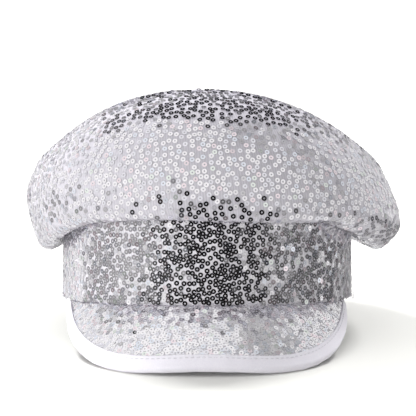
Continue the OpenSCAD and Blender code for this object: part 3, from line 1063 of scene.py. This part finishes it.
# ---- Hidden parts that keep their shape ----
# The band's stiffener and the visor board are die-cut, and a strip of cotton twill tape
# joins the stiffener's ends.

# Extruded polyethylene sheet: pale, a little glossy, and hazy over a few millimetres.
sheet_plastic, tree = new_material("flexible_sheet_plastic")
place = add_node(tree, "ShaderNodeTexCoord")
haze = add_node(
    tree, "ShaderNodeTexNoise", {"Vector": place.outputs["Object"], "Scale": 1 / (2 * MM)}
)
haze_tone = add_node(
    tree,
    "ShaderNodeMixRGB",
    {"Fac": haze.outputs["Fac"], "Color1": linear("D3D5DA"), "Color2": linear("E2E3E6")},
)
plastic_shader = add_node(
    tree, "ShaderNodeBsdfPrincipled", {"Base Color": haze_tone.outputs[0], "Roughness": 0.45}
)
finish_surface(tree, plastic_shader)
for node, material in (
    ("band_stiffener", sheet_plastic),
    ("visor_board", sheet_plastic),
    ("stiffener_tape", twill),
):
    frame["nodes"][node].data.materials.clear()
    frame["nodes"][node].data.materials.append(material)

# ---- Table and light ----
# A white table inside a white tent of light, which is open and dark round the lens, and
# behind the top between the overhead panel and the backdrop.  Two lamps stand behind.
bpy.ops.object.select_all(action="DESELECT")
bpy.ops.mesh.primitive_plane_add(size=8, location=(0, 0, 0))
table = bpy.context.object
table.name = "table_top"
# White melamine-faced board, pressed matt: plain, with a barely seen mottle.
white, tree = new_material("white_laminate")
place = add_node(tree, "ShaderNodeTexCoord")
mottle = add_node(tree, "ShaderNodeTexNoise", {"Vector": place.outputs["Object"], "Scale": 3.0})
mottle_tone = add_node(
    tree,
    "ShaderNodeMixRGB",
    {"Fac": mottle.outputs["Fac"], "Color1": linear("E8E8E4"), "Color2": linear("ECECE8")},
)
white_shader = add_node(
    tree, "ShaderNodeBsdfPrincipled", {"Base Color": mottle_tone.outputs[0], "Roughness": 0.7}
)
finish_surface(tree, white_shader)
table.data.materials.append(white)
table.visible_glossy = False

world = bpy.data.worlds.new("studio")
world.use_nodes = True
bpy.context.scene.world = world
tree = world.node_tree
tree.nodes.clear()


def join(kind, a, b, c=0.0):
    return add_node(tree, "ShaderNodeMath", {0: a, 1: b, 2: c}, operation=kind).outputs[0]


def ramp(value, start, end, low=0.0, high=1.0):
    """Goes smoothly from low at start to high at end."""
    inputs = {"Value": value, "From Min": start, "From Max": end, "To Min": low, "To Max": high}
    if start > end:
        inputs.update({"From Min": end, "From Max": start, "To Min": high, "To Max": low})
    node = add_node(tree, "ShaderNodeMapRange", inputs, interpolation_type="SMOOTHSTEP")
    return node.outputs[0]


def blend(share, a, b):
    """a where the share is 0, b where it is 1."""
    return join("MULTIPLY_ADD", share, join("SUBTRACT", b, a), a)


direction = add_node(tree, "ShaderNodeTexCoord")
upright_direction = add_node(
    tree,
    "ShaderNodeVectorRotate",
    {"Vector": direction.outputs["Generated"], "Axis": (1, 0, 0), "Angle": math.asin(cap_up.y)},
    rotation_type="AXIS_ANGLE",
)
xyz = add_node(tree, "ShaderNodeSeparateXYZ", {"Vector": upright_direction.outputs[0]})
side, away, up = xyz.outputs
# Degrees from straight at the lens, up over the cap, to straight behind it
over = join("MULTIPLY", join("ARCTAN2", up, join("MULTIPLY", away, -1.0)), math.degrees(1))
off = join("ABSOLUTE", join("SUBTRACT", side, 0.04), 0.0)

dark = 0.012                            # how bright each part of the tent looks
grey_drop = 0.2
grey_low = 0.26
level_left = 0.36
level_right = 0.1
glint = 1.4
panel_light = 7.5

# The dim end of the tent, with the lens in it
front = join("MULTIPLY", ramp(over, 18, 8), ramp(over, -85, -65))
level_share = join("MULTIPLY", ramp(up, 0.05, -0.03), ramp(up, -0.3, -0.2))
wider = join("MULTIPLY", level_share, ramp(side, 0.0, -0.3, 0.36, 0.46))
front = join("MULTIPLY", front, ramp(join("SUBTRACT", off, wider), 0.5, 0.3))
# The gap between the overhead panel and the backdrop
gap_start = join("MULTIPLY_ADD", off, 26.0, 86.5)
gap_end = join("MULTIPLY_ADD", off, -10.0, 136.0)
past_start = ramp(join("SUBTRACT", over, gap_start), -3, 4)
gap = join("MULTIPLY", past_start, ramp(join("SUBTRACT", gap_end, over), -5, 5))
gap_left = join("MULTIPLY", ramp(side, -0.66, -0.48, 0, 0.9), ramp(side, 0.1, -0.1))
gap_left = join("MULTIPLY", gap_left, ramp(over, 102, 110))
gap_side = join("MAXIMUM", ramp(off, 0.56, 0.38), gap_left)
gap = join("MULTIPLY", gap, gap_side)
# The backdrop, greyer low on the right
drop = join("MULTIPLY", ramp(over, 126, 132), ramp(side, -0.4, 0.0))
drop = join("MULTIPLY", drop, join("MULTIPLY", ramp(over, 172, 148), ramp(side, 0.6, 0.35)))
low_right = join("MULTIPLY", ramp(away, 0.3, 0.6), ramp(up, 0.1, -0.1))
low_right = join("MULTIPLY", low_right, ramp(side, 0.1, 0.4))
# Level with the cap at each side
level = join("MULTIPLY", level_share, ramp(off, 0.5, 0.75))
behind = join("MULTIPLY", ramp(away, 0.3, 0.55), ramp(side, 0.0, -0.3))
level = join("MULTIPLY", level, join("SUBTRACT", 1.0, behind))
windows = add_node(
    tree, "ShaderNodeTexVoronoi", {"Vector": upright_direction.outputs[0], "Scale": 9.0}
)
glints = ramp(windows.outputs["Distance"], 0.3, 0.22)
level_light = blend(ramp(side, -0.1, 0.1), level_left, blend(glints, level_right, glint))
# The overhead panel, dimmer over the right
bright = join("MULTIPLY", ramp(side, -0.3, 0.2, 1.0, 0.9), ramp(side, 0.5, 0.95, 1.0, 0.85))
dim = join("MULTIPLY", ramp(over, 68, 78), ramp(side, 0.1, 0.35, 0.0, 0.5))
dim = join("MULTIPLY", dim, ramp(over, 100, 88))
bright = join("MULTIPLY", bright, join("SUBTRACT", 1.0, dim))
light = blend(drop, bright, grey_drop)
light = blend(low_right, light, grey_low)
light = blend(gap, light, dark)
light = blend(level, light, level_light)
light = blend(front, light, dark)
mirrored = add_node(tree, "ShaderNodeBackground", {"Color": (1, 1, 1, 1), "Strength": light})
# What lights the cloth: a big panel at the left, less above, and little at the right
soft = join("MULTIPLY_ADD", side, join("MULTIPLY_ADD", side, 0.2, -0.32), 0.45)
soft = join("MULTIPLY_ADD", away, 0.2, soft)
soft = join("MULTIPLY_ADD", join("MULTIPLY", up, up), 0.6, soft)
panel = join("MULTIPLY", ramp(side, -0.3, -0.8), join("MULTIPLY", ramp(up, 0.2, 0.05), panel_light))
shade = join("MULTIPLY", ramp(side, 0.2, 0.8), ramp(up, 0.5, 0.1, 0, 1.0))
soft = join("MULTIPLY", soft, join("SUBTRACT", 1.0, shade))
soft = join("ADD", soft, panel)
general = add_node(tree, "ShaderNodeBackground", {"Color": (1, 1, 1, 1), "Strength": soft})
plain = add_node(tree, "ShaderNodeBackground", {"Color": (1, 1, 0.97, 1), "Strength": 1.05})
path = add_node(tree, "ShaderNodeLightPath")
lit = add_node(
    tree,
    "ShaderNodeMixShader",
    {0: path.outputs["Is Glossy Ray"], 1: general.outputs[0], 2: mirrored.outputs[0]},
)
seen = add_node(
    tree,
    "ShaderNodeMixShader",
    {0: path.outputs["Is Camera Ray"], 1: lit.outputs[0], 2: plain.outputs[0]},
)
add_node(tree, "ShaderNodeOutputWorld", {"Surface": seen.outputs[0]})

# Two lamps stand behind, at the left and at the right.  Only in front of the visor is
# the table out of the light of both.
middle = (cad_box[0] + cad_box[1]) / 2
lamp_distance = 1.4
lamp_angle = 14
for name, across, energy in (("left_lamp", -0.42, 3.0), ("right_lamp", 0.42, 2.8)):
    lamp_place = middle + lamp_distance * Vector((across, 0.62, 0.72)).normalized()
    bpy.ops.object.light_add(type="SUN", location=lamp_place)
    lamp = bpy.context.object
    lamp.name = name
    lamp.data.angle = math.radians(lamp_angle)
    lamp.data.energy = energy
    lamp.visible_glossy = False
    lamp.rotation_euler = (middle - lamp_place).to_track_quat("-Z", "Y").to_euler()

bpy.context.scene.view_settings.view_transform = "Standard"
